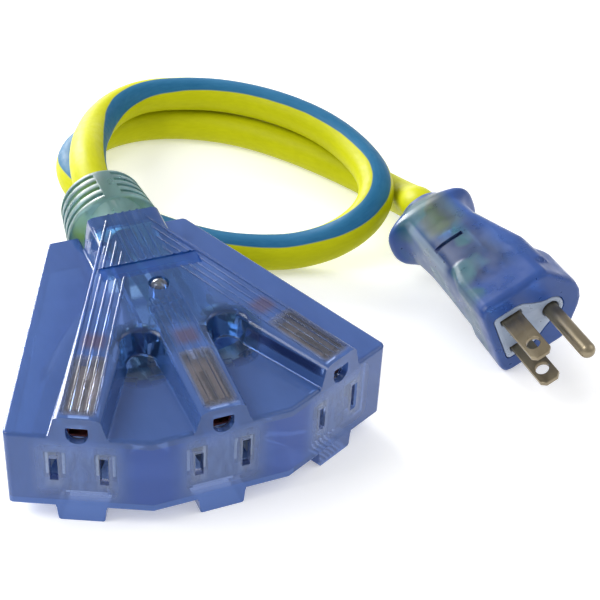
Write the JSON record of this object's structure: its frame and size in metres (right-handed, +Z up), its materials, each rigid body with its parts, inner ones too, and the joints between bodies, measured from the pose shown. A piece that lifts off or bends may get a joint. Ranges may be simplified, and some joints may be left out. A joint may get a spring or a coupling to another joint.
{
  "type": "extension cord",
  "caption": "Short heavy extension cord: a fan-shaped translucent outlet block on a looped round cord that ends in a moulded grip plug.",
  "frame": {"origin": "on the resting surface, under the middle of the box around the outlet block and its strain relief", "axes": "+Z up; -Y is the way the outlets face; +Y is the way the cord leaves the block; +X is to the right seen from in front of the outlets; the outside of the block is symmetric about X = 0, and the line and neutral sides of its outlets are not"},
  "size_m": [0.1704, 0.1872, 0.0397],
  "materials": {
    "block_vinyl": "translucent blue moulded vinyl with reeded ribs",
    "plug_vinyl": "translucent blue moulded vinyl",
    "relief_vinyl": "translucent teal moulded vinyl",
    "clear_polycarbonate": "clear moulded polycarbonate",
    "contact_brass": "stamped brass strip",
    "plated_blade": "nickel-plated brass, satin",
    "tinned_lead": "tinned copper",
    "carrier_nylon": "pale grey-blue nylon",
    "lamp_lens": "clear lens",
    "resistor_body": "lacquered ceramic",
    "cord_vinyl": "matte lime-yellow vinyl with one blue stripe",
    "line_insulation": "black insulation",
    "neutral_insulation": "white insulation",
    "ground_insulation": "green insulation"
  },
  "bodies": {
    "root": {"block_overmould": "block_vinyl", "block_strain_relief": "relief_vinyl", "cord_jacket": "cord_vinyl", "ground_bus": "contact_brass", "ground_contact_centre": "contact_brass", "ground_contact_left": "contact_brass", "ground_contact_right": "contact_brass", "ground_crimp_block": "contact_brass", "ground_crimp_plug": "contact_brass", "ground_pin": "plated_blade", "ground_wire_block": "ground_insulation", "ground_wire_plug": "ground_insulation", "lamp_lead_line": "tinned_lead", "lamp_lead_neutral": "tinned_lead", "lamp_resistor": "resistor_body", "line_blade": "plated_blade", "line_bus": "contact_brass", "line_contact_centre": "contact_brass", "line_contact_left": "contact_brass", "line_contact_right": "contact_brass", "line_crimp_block": "contact_brass", "line_crimp_plug": "contact_brass", "line_wire_block": "line_insulation", "line_wire_plug": "line_insulation", "neutral_blade": "plated_blade", "neutral_bus": "contact_brass", "neutral_contact_centre": "contact_brass", "neutral_contact_left": "contact_brass", "neutral_contact_right": "contact_brass", "neutral_crimp_block": "contact_brass", "neutral_crimp_plug": "contact_brass", "neutral_wire_block": "neutral_insulation", "neutral_wire_plug": "neutral_insulation", "outlet_insert_centre": "clear_polycarbonate", "outlet_insert_left": "clear_polycarbonate", "outlet_insert_right": "clear_polycarbonate", "plug_blade_carrier": "carrier_nylon", "plug_overmould": "plug_vinyl", "power_lamp": "lamp_lens", "resistor_lead": "tinned_lead"}
  },
  "joints": []
}
